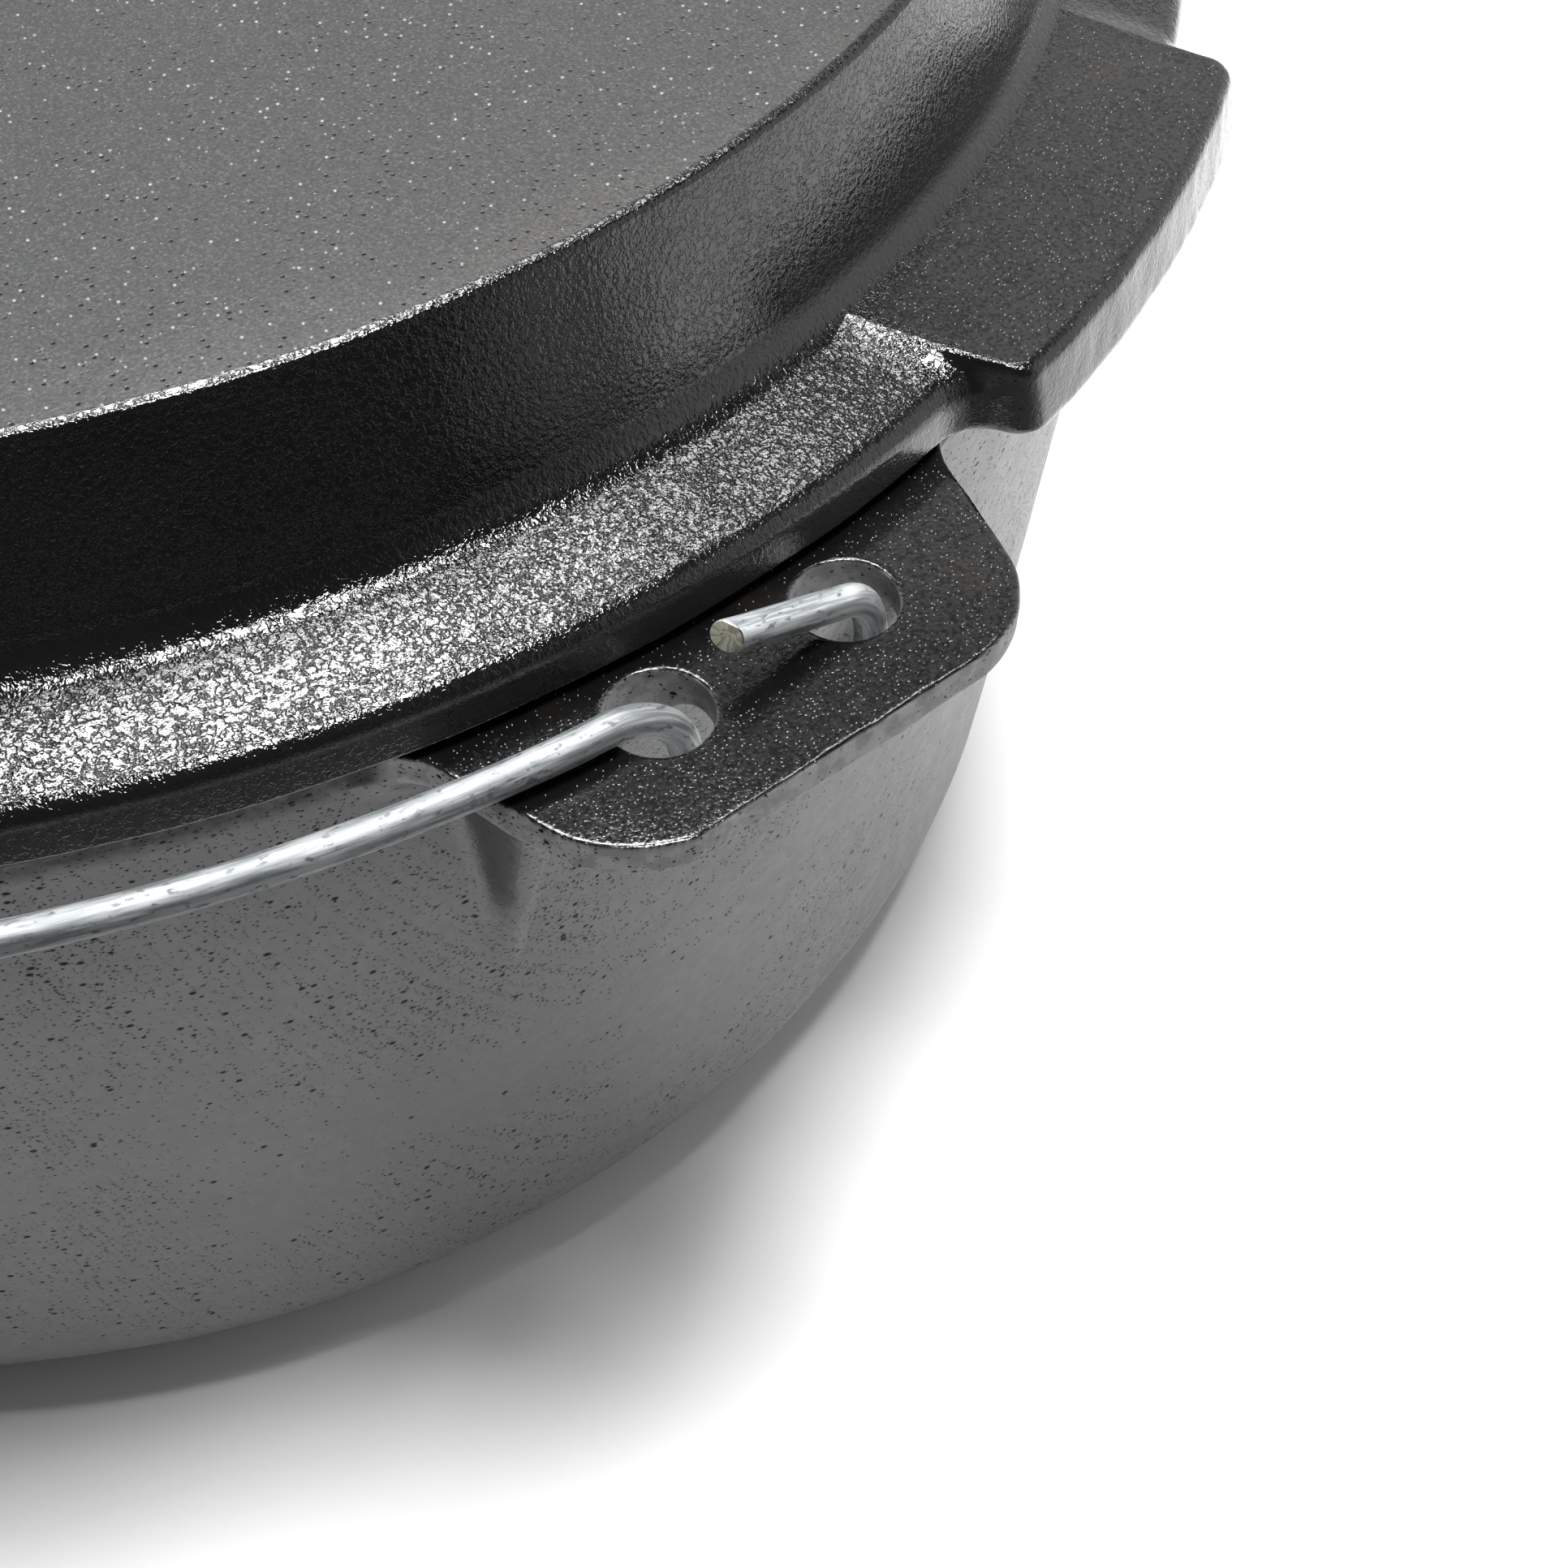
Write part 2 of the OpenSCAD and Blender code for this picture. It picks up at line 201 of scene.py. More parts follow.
# Mesh of a field's zero surface: one point per crossed cell, then drawn onto the surface
def skin(fn, lo, hi, h=GRID):
    lo = np.array(lo, float)
    n = np.ceil((np.array(hi, float) - lo) / h).astype(int) + 1
    ax = [lo[i] + h * np.arange(n[i]) for i in range(3)]
    X, Y, Z = np.meshgrid(*ax, indexing="ij")
    F = fn(X, Y, Z)
    S = F < 0
    nc = n - 1
    corner = {}
    for a in (0, 1):
        for b in (0, 1):
            for c in (0, 1):
                corner[a, b, c] = tuple(slice(d, d + nc[i]) for i, d in enumerate((a, b, c)))
    total = sum(S[s].astype(np.int8) for s in corner.values())
    act = (total > 0) & (total < 8)
    cells = np.argwhere(act)
    idx = -np.ones(nc, np.int64)
    idx[act] = np.arange(len(cells))
    acc = np.zeros((len(cells), 3))
    cnt = np.zeros(len(cells))
    for axis in range(3):
        for a in (0, 1):
            for b in (0, 1):
                o = [a, b]
                o.insert(axis, 0)
                p = o.copy()
                p[axis] = 1
                fa = F[corner[tuple(o)]][act]
                fb = F[corner[tuple(p)]][act]
                m = (fa < 0) != (fb < 0)
                t = np.where(m, fa / np.where(m, fa - fb, 1.0), 0.0)
                pos = cells + np.array(o, float)
                pos[:, axis] += t
                acc[m] += pos[m]
                cnt[m] += 1
    v = lo + h * acc / cnt[:, None]
    faces = []
    for axis, (b, c) in enumerate([(1, 2), (2, 0), (0, 1)]):
        s0 = [slice(1, nc[i]) for i in range(3)]
        s1 = [slice(1, nc[i]) for i in range(3)]
        s0[axis] = slice(0, nc[axis])
        s1[axis] = slice(1, nc[axis] + 1)
        A, B = S[tuple(s0)], S[tuple(s1)]
        edges = np.argwhere(A != B)
        base = edges.copy()
        base[:, b] += 1
        base[:, c] += 1
        inside = A[tuple(edges.T)]

        def at(db, dc):
            q = base.copy()
            q[:, b] += db
            q[:, c] += dc
            return idx[tuple(q.T)]
        quad = np.stack([at(-1, -1), at(0, -1), at(0, 0), at(-1, 0)], 1)
        quad[~inside] = quad[~inside][:, ::-1]
        faces.append(quad)
    faces = np.concatenate(faces)
    e = 0.02
    for _ in range(4):
        x, y, z = v.T
        g = np.stack([fn(x + e, y, z) - fn(x - e, y, z),
                      fn(x, y + e, z) - fn(x, y - e, z),
                      fn(x, y, z + e) - fn(x, y, z - e)], 1) / (2 * e)
        move = fn(x, y, z) / np.maximum((g * g).sum(1), 0.2)
        v = v - np.clip(move, -0.4 * h, 0.4 * h)[:, None] * g
    return v, faces.tolist()


# Ear plate with its holes and the block below it, seen along u from the pot's axis
def ear_field(u, w, z):
    aw = np.abs(w)
    drop = EAR_LOW - z
    # one half is a little wider and more flared
    far = step(w, -4.0, 4.0)
    flare = np.radians(EAR_FLARE + 0.6 * far)
    wall = (np.hypot(u, w) - wall_r(z)) * math.cos(math.radians(WALL_DEG))
    wob = 0.05 * swell(u, w, z, 11.0) + 0.05 * swell(u, w, z, 4.6)
    side = (aw - EAR_W - 0.3 * far) * np.cos(flare) + (u - EAR_U) * np.sin(flare)
    plan = round_and(u - EAR_U, side, EAR_CORNER) + wob
    plate = round_and(plan, drop, 0.8)
    # the block is deeper at its two ends
    gusset = GUSSET * step(aw, 17.0, 20.5)
    tilt, taper = math.radians(BLOCK_TILT), math.radians(BLOCK_TAPER)
    front = (u - (RIM_R + BLOCK_OUT + gusset - drop * math.tan(tilt))) * math.cos(tilt)
    end = (aw - (BLOCK_W - drop * math.tan(taper))) * math.cos(taper)
    block = np.maximum(smax(front, end, 2.6), z - (EAR_LOW + 1.5))
    root = smin(smin(plate, block + 0.5 * wob, 2.8), wall, 2.8)
    whole = np.minimum(smin(plate, wall, 4.6), root)
    # away from the ear the skin dives under the wall, so that its border is hidden
    away = np.minimum(plate - 1.8, block)
    whole = whole + SINK * step(away, 2.0, 4.0)
    whole = smax(whole, z - (EAR_TOP + 0.04 * swell(u, w, z, 14.0)), 0.4)
    for s in (-1, 1):
        whole = smax(whole, HOLE_R - np.hypot(u - HOLE_U, w - s * HOLE_W), 0.3)
    return np.maximum(np.maximum(whole, -(wall + BURIED)), away - 4.5)


# Finger tab that grows from the lid's flange, seen along u from the lid's axis
def tab_field(u, w, z, reach, half, lean):
    r = np.hypot(u, w)
    aw = np.abs(w)
    upright = 0.986
    cone = FLANGE_TOP + (FLANGE_R - r) * SLOPE
    edge = r - (FLANGE_R + FLANGE_OUT - (z - POT_H - FLANGE_GAP) * EDGE_LEAN)
    flange = np.maximum(round_and(edge, (z - cone) * upright, FLANGE_ROUND), POT_H - z)
    wob = 0.05 * swell(u, w, 0.3 * z, 13.0) + 0.02 * swell(u, w, z, 4.6)
    out = r - (reach + lean * ((TAB_TOP - z) * 0.17 + 0.02 * w))
    plan = smin(edge, round_and(out, aw - half, 3.0) + wob, 5.0)
    # the flank is a broad cove over the flange, and steep beyond its edge
    soft = step(r, FLANGE_R + 1.5, FLANGE_R - 4.5)
    cove = np.clip((half + 4.8 - aw) / 5.4, 0.0, 1.0) ** 2
    rise = soft * cove + (1 - soft) * (1 - step(aw, half - 1.0, half + 0.6))
    slab = TAB_TOP + 0.06 * np.maximum(149.0 - r, 0.0) + 0.02 * swell(u, w, z, 14.0)
    deck = cone + smax(slab - cone, 0.0, 0.8) * rise
    edge_round = 1.4 + step(aw, half - 2.0, half + 6.0)
    whole = round_and(plan, (z - deck) * upright, edge_round)
    whole = smax(whole, (TAB_TOP - TAB_T) - z, 1.6)
    # at its border the skin dives under the flange
    whole = whole + SINK * step(aw, half + 4.0, half + 9.0)
    keep = np.maximum(whole, -(flange + BURIED))
    lift = 0.35 + 0.5 * step(aw, half + 1.0, half + 6.0)
    bottom = POT_H + lift - 0.9 * step(r, 150.8, 152.2)
    keep = np.maximum(keep, bottom - z)
    return np.maximum(np.maximum(keep, 133.5 - r), aw - (half + 10.5))


# Path of the bail: wide arc, shoulders, end loops and hooks
def bail_path():
    lie = EAR_T / 2 + 0.5 + WIRE / 2
    web = HOLE_W - HOLE_R
    rise = EAR_T / 2 + 2.0
    loop_r = math.hypot(web + 1.8, rise) + WIRE / 2 + 0.55
    hook_d = math.hypot(web - 1.8, rise) + WIRE / 2 + 0.75
    lead_r, hook_r, hook_len, up = 9.0, 3.4, 13.7, math.radians(15)
    lead_c = np.array([0.0, lie - lead_r])
    loop_x = math.sqrt((lead_r + loop_r) ** 2 - (2.0 + lead_c[1]) ** 2)
    loop_c = np.array([loop_x, -2.0])
    hn = np.array([math.sin(up), math.cos(up)])
    ht = np.array([-math.cos(up), math.sin(up)])
    off = hook_d - hook_r
    hook_c = loop_c - math.sqrt((loop_r - hook_r) ** 2 - off ** 2) * ht + off * hn
    a1 = math.atan2(loop_c[1] - lead_c[1], loop_c[0])
    a3 = math.atan2(hook_c[1] - loop_c[1], hook_c[0] - loop_c[0])
    yaw, sh = math.radians(3.5), 60.0
    su = HOLE_U + 1.35 - loop_c[0] * math.sin(yaw)
    sw = loop_c[0] * math.cos(yaw) - 1.8
    cu, cw = su - sh * math.cos(yaw), sw - sh * math.sin(yaw)
    big = sh + math.hypot(cu, cw)
    beta = math.atan2(cw, cu)

    def arc(c, r, g0, g1, length):
        k = max(2, int(abs(g1 - g0) * r / length))
        g = np.linspace(g0, g1, k)
        return np.stack([c[0] + r * np.cos(g), c[1] + r * np.sin(g)], 1)

    flat = [arc(lead_c, lead_r, math.pi / 2, a1, 0.6)[1:],
            arc(loop_c, loop_r, a1 + math.pi, a3 + 2 * math.pi, 0.6)[1:],
            arc(hook_c, hook_r, a3, math.pi / 2 - up, 0.35)[1:]]
    p = hook_c + hook_r * hn
    flat.append(p + ht * np.linspace(0.0, hook_len, 30)[1:, None])
    flat = np.concatenate(flat)
    mid = EAR_TOP - EAR_T / 2
    end = np.stack([su + flat[:, 0] * math.sin(yaw), -(sw - flat[:, 0] * math.cos(yaw)),
                    mid + flat[:, 1]], 1)
    g = arc((cu, cw), sh, beta, yaw, 1.0)[1:]
    shoulder = np.stack([g[:, 0], -g[:, 1], np.full(len(g), mid + lie)], 1)
    g = arc((0, 0), big, math.pi - beta, beta, 1.5)
    wide = np.stack([g[:, 0], -g[:, 1], np.full(len(g), mid + lie)], 1)
    flip = np.array([-1, 1, 1])
    path = np.concatenate([end[::-1] * flip, shoulder[::-1] * flip, wide, shoulder, end])
    # the wide arc hangs and bows a little, as a hand-bent wire does
    away = step(-path[:, 1], 20.0, 75.0)
    path[:, :2] *= (1 + 0.7 * away / big)[:, None]
    path[:, 2] -= 1.6 * step(-path[:, 1], 15.0, 190.0)
    return path


# Round wire along a path, with its last lengths pressed and its ends sheared
def sweep(path, r, n=28, press=15.0):
    tan = np.gradient(path, axis=0)
    tan /= np.linalg.norm(tan, axis=1)[:, None]
    up = np.array([0, 0, 1.0])
    k = len(path) // 2
    frames = np.zeros((len(path), 3))
    frames[k] = up - (up @ tan[k]) * tan[k]
    for seq in (range(k + 1, len(path)), range(k - 1, -1, -1)):
        prev = frames[k]
        for i in seq:
            f = prev - (prev @ tan[i]) * tan[i]
            f /= np.linalg.norm(f)
            frames[i] = prev = f
    side = np.cross(tan, frames)
    run = np.concatenate([[0], np.cumsum(np.linalg.norm(np.diff(path, axis=0), axis=1))])
    from_end = np.minimum(run, run[-1] - run)
    g = np.linspace(0, 2 * math.pi, n, endpoint=False)
    rings, grain = [], []
    for i in range(len(path)):
        x, y = np.sin(g) * r, np.cos(g) * r
        t = float(step(press - from_end[i], 0.0, 2.0))
        if t > 0:
            # the hook's upper side is pressed flat where it was bent over
            lim = -r * (1 - 0.24 * t)
            y = np.where(y < lim, lim + (y - lim) * 0.08, y)
        wide = 1 + 0.07 * max(0.0, 1 - from_end[i] / 1.6)
        rings.append(path[i] + np.outer(x * wide, side[i]) + np.outer(y, frames[i]))
        grain.append(np.stack([np.full(n, run[i]), np.sin(g) * r, np.cos(g) * r], 1))
    caps = []
    for end, sgn in ((0, -1), (-1, 1)):
        c = path[end]
        t = tan[end] * sgn
        out = np.array([math.copysign(1.0, c[0]), 0, 0])
        ring = rings[end]
        lean = -((ring - c) @ out) * 0.5 - ((ring - c) @ up) * 0.18
        rings[end] = ring + np.outer(lean - 0.22, t)
        outer = c + (ring - c) * 0.93 + np.outer(lean * 0.93, t)
        inner = c + (ring - c) * 0.5 + np.outer(lean * 0.5 + 0.05, t)
        caps.append((outer, inner, c + t * 0.03))
    rings = [caps[0][1], caps[0][0]] + rings + [caps[1][0], caps[1][1]]
    grain = [grain[0], grain[0]] + grain + [grain[-1], grain[-1]]
    v = np.concatenate(rings + [caps[0][2][None], caps[1][2][None]])
    grain = np.concatenate(grain + [grain[0][:1], grain[-1][:1]])
    cut = np.zeros(len(v))
    cut[:2 * n] = 1
    cut[-2 * n - 2:] = 1
    return v, tube_faces(len(rings), n), {"run": grain, "cut": cut}


# One piece of the part: mesh, zones of its skin, material, and its place in the frame
def piece(name, v, faces, body, node, slot, mat, zone, sharp=40, turn=0.0):
    local = np.asarray(v)
    c, s = math.cos(turn), math.sin(turn)
    spin = np.array([[c, s, 0], [-s, c, 0], [0, 0, 1]])
    if turn:
        v = local @ spin
    me = bpy.data.meshes.new(name)
    me.from_pydata((np.asarray(v) * MM).tolist(), [], faces)
    me.update()
    bm = bmesh.new()
    bm.from_mesh(me)
    bmesh.ops.recalc_face_normals(bm, faces=bm.faces)
    bm.to_mesh(me)
    bm.free()
    me.polygons.foreach_set("use_smooth", [True] * len(me.polygons))
    me.set_sharp_from_angle(angle=math.radians(sharp))
    if callable(zone):
        nor = np.zeros(len(local) * 3)
        me.vertex_normals.foreach_get("vector", nor)
        zone = zone(local, nor.reshape(-1, 3) @ spin.T)
    for key, val in zone.items():
        val = np.asarray(val, float)
        kind, field = ("FLOAT", "value") if val.ndim == 1 else ("FLOAT_VECTOR", "vector")
        me.attributes.new(key, kind, "POINT").data.foreach_set(field, val.ravel())
    me.materials.append(mat)
    o = bpy.data.objects.new(name, me)
    bpy.context.scene.collection.objects.link(o)
    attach(o, body)
    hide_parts(node)


# Helper for the nodes of a material or world
class Tree:
    def __init__(self, owner, space="Object"):
        owner.use_nodes = True
        self.t = owner.node_tree
        self.coord = self.t.nodes.new("ShaderNodeTexCoord").outputs[space]

    def link(self, a, b):
        if isinstance(a, (int, float)):
            b.default_value = a
        else:
            self.t.links.new(a, b)

    def attr(self, name, out="Fac"):
        n = self.t.nodes.new("ShaderNodeAttribute")
        n.attribute_name = name
        return n.outputs[out]

    def vector(self, op, vec, other=None, out="Vector"):
        n = self.t.nodes.new("ShaderNodeVectorMath")
        n.operation = op
        self.t.links.new(vec, n.inputs[0])
        if other:
            n.inputs[1].default_value = other
        return n.outputs[out]

    def stretch(self, vec, scale):
        return self.vector("MULTIPLY", vec, scale)

    def noise(self, size_mm, detail=2.0, rough=0.5, seed=0.0, vec=None):
        n = self.t.nodes.new("ShaderNodeTexNoise")
        n.noise_dimensions = "4D" if seed else "3D"
        if seed:
            n.inputs["W"].default_value = seed
        n.inputs["Scale"].default_value = 1000.0 / size_mm
        n.inputs["Detail"].default_value = detail
        n.inputs["Roughness"].default_value = rough
        self.t.links.new(vec or self.coord, n.inputs["Vector"])
        return n.outputs["Fac"]

    # distance to the nearest cell's middle, and two random values of that cell
    def cells(self, size_mm, vec=None):
        n = self.t.nodes.new("ShaderNodeTexVoronoi")
        n.inputs["Scale"].default_value = 1000.0 / size_mm
        self.t.links.new(vec or self.coord, n.inputs["Vector"])
        s = self.t.nodes.new("ShaderNodeSeparateColor")
        self.t.links.new(n.outputs["Color"], s.inputs[0])
        return n.outputs["Distance"], s.outputs[0], s.outputs[1]

    def math(self, op, a, b=0.0, c=0.0):
        n = self.t.nodes.new("ShaderNodeMath")
        n.operation = op
        for i, v in enumerate((a, b, c)):
            self.link(v, n.inputs[i])
        return n.outputs[0]

    def add(self, *terms):
        s = terms[0]
        for t in terms[1:]:
            s = self.math("ADD", s, t)
        return s

    def mul(self, a, b):
        return self.math("MULTIPLY", a, b)

    def larger(self, a, b):
        return self.math("MAXIMUM", a, b)

    def below(self, a, b):
        return self.math("LESS_THAN", a, b)

    def ramp(self, x, lo, hi, out_lo=0.0, out_hi=1.0, smooth=True):
        n = self.t.nodes.new("ShaderNodeMapRange")
        n.interpolation_type = "SMOOTHSTEP" if smooth else "LINEAR"
        names = ("Value", "From Min", "From Max", "To Min", "To Max")
        for k, v in zip(names, (x, lo, hi, out_lo, out_hi)):
            self.link(v, n.inputs[k])
        return n.outputs[0]

    def mix(self, f, a, b):
        n = self.t.nodes.new("ShaderNodeMix")
        n.data_type = "RGBA"
        self.link(f, n.inputs["Factor"])
        for v, s in ((a, n.inputs[6]), (b, n.inputs[7])):
            if isinstance(v, tuple):
                s.default_value = (*v, 1.0)
            else:
                self.t.links.new(v, s)
        return n.outputs[2]

    def blend(self, f, a, b):
        return self.math("ADD", a, self.mul(f, self.math("SUBTRACT", b, a)))

    # height in millimetres
    def bump(self, height):
        n = self.t.nodes.new("ShaderNodeBump")
        n.inputs["Strength"].default_value = 1.0
        n.inputs["Distance"].default_value = MM
        self.t.links.new(height, n.inputs["Height"])
        return n.outputs[0]


def grey(tone):
    return (tone, tone, tone)


BLACK, WHITE = grey(0.0), grey(1.0)


# Fine grain of ear and tab tops, as height, roughness, colour and specular tint, with its beads
# painted light grey as glints and the reflection dimmed in the low grit as painted shade
def grain_skin(m, fine):
    grit = m.noise(0.42, 1.5, 0.5, 5.3)
    d, r1, _ = m.cells(0.47)
    bead = m.mul(m.ramp(d, 0.04, 0.33, 1.0, 0.0), m.ramp(r1, 0.25, 0.95, 0.0, 1.0, False))
    height = m.add(m.mul(grit, 0.024), m.mul(bead, 0.06))
    rough = m.ramp(fine, 0.3, 0.7, 0.1, 0.17)
    rust = m.ramp(m.noise(9.0, 3.0, 0.65, 8.8), 0.5, 0.75)
    col = m.mix(rust, (0.0035, 0.0035, 0.0037), (0.0080, 0.0066, 0.0055))
    # painted glints: the beads are coloured light grey; painted shade: the reflection is dimmed
    # where the grit is low
    col = m.mix(m.ramp(bead, 0.3, 0.75, 0.0, 0.9), col, (0.095, 0.095, 0.093))
    tint = m.mix(m.ramp(grit, 0.35, 0.55), grey(0.3), WHITE)
    return height, rough, col, tint


# Satin, sandy skin of the lid's flat top, warmer toward its rim
def disc_skin(m, slow):
    sand = m.noise(0.3, 2.0, 0.55, 6.1)
    d, r1, r2 = m.cells(0.95)
    grain = m.mul(m.ramp(d, 0.02, 0.27, 1.0, 0.0), m.math("GREATER_THAN", r1, 0.6))
    pit = m.mul(m.ramp(d, 0.1, 0.27, 1.0, 0.0), m.below(r1, 0.4))
    height = m.add(m.mul(sand, 0.025), m.mul(grain, 0.06), m.mul(pit, -0.06))
    rough = m.add(m.ramp(sand, 0.3, 0.7, 0.36, 0.45), m.mul(grain, -0.1))
    warm = m.ramp(m.noise(55.0, 2.0, 0.5, 2.2), 0.4, 0.62)
    col = m.mix(warm, (0.0106, 0.0112, 0.0117), (0.0130, 0.0128, 0.0124))
    rim = m.mul(m.attr("rim"), m.ramp(slow, 0.3, 0.6))
    col = m.mix(rim, col, (0.0220, 0.0202, 0.0184))
    col = m.mix(m.ramp(sand, 0.34, 0.52, 0.8, 0.0), col, (0.002, 0.002, 0.0022))
    col = m.mix(m.ramp(sand, 0.55, 0.68, 0.0, 0.6), col, grey(0.055))
    # painted glints: the raised grains are coloured light grey; painted shade: the pits are
    # near black with their reflection cut
    col = m.mix(m.mul(grain, m.ramp(r2, 0.2, 0.7)), col, grey(0.24))
    col = m.mix(pit, col, grey(0.002))
    return height, rough, col, m.mix(pit, WHITE, BLACK)


# Smooth side with pits of three sizes, their black colour painted shade, a raw tone in holes,
# and a band of painted shadow under the lid
def side_skin(m, fine, slow):
    band = m.stretch(m.coord, (1.0, 1.0, 1.35))
    d1, big_pick, size = m.cells(1.4, band)
    d2, small_pick, _ = m.cells(0.66, band)
    d3, tiny_pick, _ = m.cells(0.4, band)
    raw = m.attr("raw")
    drift = m.ramp(m.noise(34.0, 2.0, 0.55, 4.4), 0.38, 0.66, 0.0, 0.5)
    crowd = m.add(drift, m.mul(m.attr("crowd"), 0.45))
    reach = m.math("DIVIDE", d1, m.ramp(size, 0.0, 1.0, 0.14, 0.36))
    big = m.mul(m.ramp(reach, 0.45, 1.0, 1.0, 0.0), m.below(big_pick, m.mul(crowd, 0.7)))
    small = m.mul(m.ramp(d2, 0.12, 0.34, 1.0, 0.0), m.below(small_pick, m.mul(crowd, 0.85)))
    tiny = m.mul(m.ramp(d3, 0.1, 0.36, 0.75, 0.0), m.below(tiny_pick, m.mul(crowd, 0.6)))
    pit = m.larger(m.larger(big, small), tiny)
    soft = m.noise(1.6, 3.0, 0.55, 7.7)
    height = m.add(m.mul(soft, 0.014), m.mul(fine, 0.004), m.mul(pit, -0.07))
    rough = m.add(m.ramp(soft, 0.3, 0.7, 0.4, 0.48), m.mul(pit, 0.3), m.mul(raw, 0.2))
    col = m.mix(m.ramp(slow, 0.35, 0.65), (0.049, 0.0505, 0.051), (0.0595, 0.059, 0.058))
    col = m.mix(m.ramp(soft, 0.55, 0.75), col, (0.066, 0.0655, 0.0645))
    # painted bounce light: the outside grows lighter toward the pot's base
    col = m.mix(m.mul(m.attr("painted_base_light"), 0.5), col, grey(0.10))
    bare = m.mix(m.ramp(soft, 0.4, 0.6), grey(0.1), (0.155, 0.155, 0.154))
    col = m.mix(raw, col, bare)
    # painted shade: the pits and the band under the lid are coloured near black and their
    # reflection is cut, for the shade in them
    painted_shade = m.larger(pit, m.mul(m.attr("painted_lid_shadow"), m.ramp(soft, 0.2, 0.6, 0.5, 1.0)))
    col = m.mix(painted_shade, col, grey(0.003))
    return height, rough, col, m.mix(painted_shade, WHITE, BLACK)


# Seasoned cast iron: a glossy orange-peel casting, with other skins laid over it by zone
def iron(name, zones):
    mat = bpy.data.materials.new(name)
    m = Tree(mat)
    peel = m.noise(0.6, 2.0, 0.5)
    fine = m.noise(0.3, 1.5, 0.5, 3.1)
    fold = m.noise(0.95, 2.5, 0.6, 9.3)
    slow = m.noise(26.0, 3.0, 0.6, 1.7)
    from_fold = m.math("ABSOLUTE", m.math("SUBTRACT", fold, 0.5))
    crack = m.ramp(from_fold, 0.0, 0.065, 1.0, 0.0)
    height = m.add(m.mul(peel, 0.078), m.mul(crack, -0.016))
    rough = m.ramp(fine, 0.3, 0.7, 0.06, 0.12)
    col = m.mix(m.ramp(slow, 0.35, 0.65), (0.0028, 0.0028, 0.0030), (0.0042, 0.0041, 0.0040))
    # painted shade: on flat faces the reflection is nearly cut in the cracks, for the shade in
    # those creases
    tint = m.mix(m.mul(crack, m.attr("flat")), WHITE, grey(0.03))
    for zone in zones:
        if zone == "top":
            over = grain_skin(m, fine)
        elif zone == "disc":
            over = disc_skin(m, slow)
        else:
            over = side_skin(m, fine, slow)
        w = m.attr(zone)
        height = m.blend(w, height, over[0])
        rough = m.blend(w, rough, over[1])
        col = m.mix(w, col, over[2])
        tint = m.mix(w, tint, over[3])
    b = m.t.nodes["Principled BSDF"]
    m.link(col, b.inputs["Base Color"])
    m.link(tint, b.inputs["Specular Tint"])
    m.link(rough, b.inputs["Roughness"])
    m.link(m.bump(height), b.inputs["Normal"])
    return mat


# Bright zinc on drawn wire, with streaks along its length and a raw sheared end
def zinc():
    mat = bpy.data.materials.new("bail_zinc")
    m = Tree(mat)
    run = m.stretch(m.attr("run", "Vector"), (MM, MM, MM))
    streak = m.noise(0.5, 3.0, 0.6, 1.3, m.stretch(run, (0.07, 1.0, 1.0)))
    speck = m.noise(0.55, 2.0, 0.6, 2.9, m.stretch(run, (0.5, 1.0, 1.0)))
    cut = m.attr("cut")
    col = m.mix(m.ramp(streak, 0.4, 0.62), (0.21, 0.224, 0.23), (0.40, 0.414, 0.42))
    col = m.mix(m.ramp(speck, 0.56, 0.68), col, (0.15, 0.157, 0.155))
    bare = m.mix(m.ramp(speck, 0.4, 0.65), (0.54, 0.53, 0.45), (0.3, 0.294, 0.25))
    rough = m.add(m.ramp(streak, 0.3, 0.7, 0.6, 0.72), m.mul(cut, 0.12))
    height = m.add(m.mul(streak, 0.012), m.mul(speck, 0.010))
    b = m.t.nodes["Principled BSDF"]
    b.inputs["Metallic"].default_value = 1.0
    m.link(m.mix(cut, col, bare), b.inputs["Base Color"])
    m.link(rough, b.inputs["Roughness"])
    m.link(m.bump(height), b.inputs["Normal"])
    return mat


# Zones of each piece's skin, from its points and their normals
# painted shadow: the pot's wall just under the lid's overhang is made near black, as the shade
# in that gap
def painted_lid_shadow(z):
    return LID_SHADOW_TONE * step(z, LID_SHADOW_LOW, LID_SHADOW_HIGH)


def pot_zone(v, nor):
    r = np.hypot(v[:, 0], v[:, 1])
    z = v[:, 2]
    # the outside, and the inside near the rim and at the middle of the floor
    outer = (z >= 0.7 * r) | (r > wall_r(np.maximum(z, 0)) - 2.6) | (z < 3.0)
    inner = (z > 3.0) & (r < wall_r(z) - 3.2)
    top = step(nor[:, 2], 0.6, 0.9) * (z > 120)
    # the lower outside gets painted bounce light, and the wall under the lid a band of painted
    # shadow
    return {"top": top, "side": np.where(inner, 0.35, 1.0) * (1 - top),
            "crowd": step(z, 45.0, 118.0) * outer, "raw": np.zeros(len(v)),
            "painted_base_light": (1 - step(z, 8.0, 60.0)) * outer, "painted_lid_shadow": painted_lid_shadow(z) * outer}


